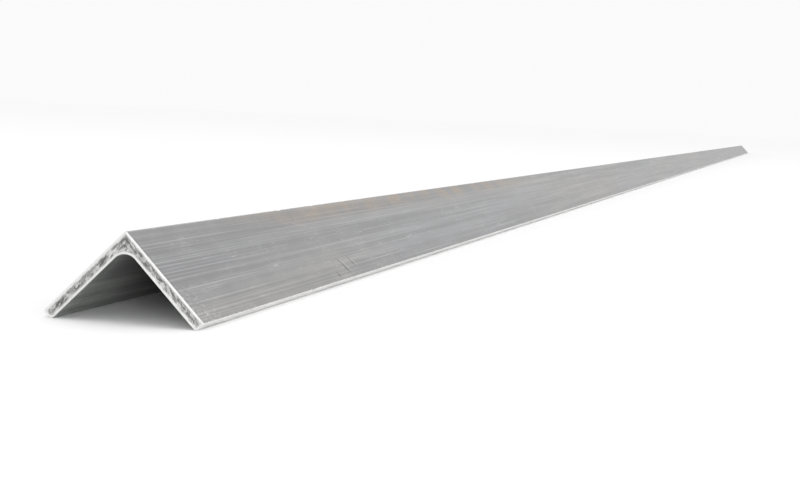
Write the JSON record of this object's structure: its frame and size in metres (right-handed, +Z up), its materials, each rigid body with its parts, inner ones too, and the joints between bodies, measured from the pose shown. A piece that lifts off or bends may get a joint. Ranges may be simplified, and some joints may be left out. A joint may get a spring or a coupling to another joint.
{
  "type": "metal angle section",
  "caption": "Straight equal-leg steel angle bar, an L section with a filleted inside corner, rounded toes and square-cut ends, lying heel up on its toes.",
  "frame": {"origin": "on the floor under the middle of the bar, in the section's plane of symmetry", "axes": "+Y along the bar, away from the near end; +Z up, from the floor through the heel; +X to the right, seen from the near end"},
  "size_m": [0.0562, 6, 0.0303],
  "materials": {
    "steel": "dull grey zinc-coated mill finish"
  },
  "bodies": {
    "root": {"angle_bar": "steel"}
  },
  "joints": []
}
